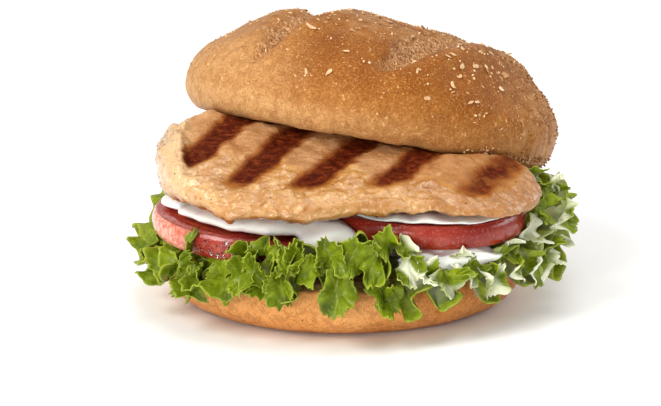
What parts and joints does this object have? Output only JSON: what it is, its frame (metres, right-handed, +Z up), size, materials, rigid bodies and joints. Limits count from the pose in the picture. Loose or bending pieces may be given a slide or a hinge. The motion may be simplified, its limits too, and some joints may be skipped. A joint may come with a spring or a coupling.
{
  "type": "chicken burger",
  "caption": "Grilled chicken fillet in a folded multigrain bun with frilled green lettuce, tomato slices and mayonnaise.",
  "frame": {"origin": "centre of the bottom bun's flat underside", "axes": "+Z up through the layers, -Y the front that the top bun is tipped back from, +X to the right seen from the front"},
  "size_m": [0.1321, 0.1396, 0.0848],
  "materials": {
    "bun_crust": "baked brown crust with bran flakes and specks, satin where it is tightest",
    "lettuce": "moist green leaf, waxy, paler along the ribs and the thin edges",
    "tomato": "red skin with water drops, wet cut flesh",
    "mayonnaise": "smooth creamy white, softly glossy",
    "grilled_chicken": "juicy golden meat with dark brown grill marks and specks of pepper"
  },
  "bodies": {
    "root": {"bun_bottom": "bun_crust", "bun_top": "bun_crust", "lettuce_left": "lettuce", "lettuce_right": "lettuce", "lettuce_back": "lettuce", "tomato_left": "tomato", "tomato_right": "tomato", "tomato_back": "tomato", "mayonnaise": "mayonnaise", "chicken_fillet": "grilled_chicken"}
  },
  "joints": []
}
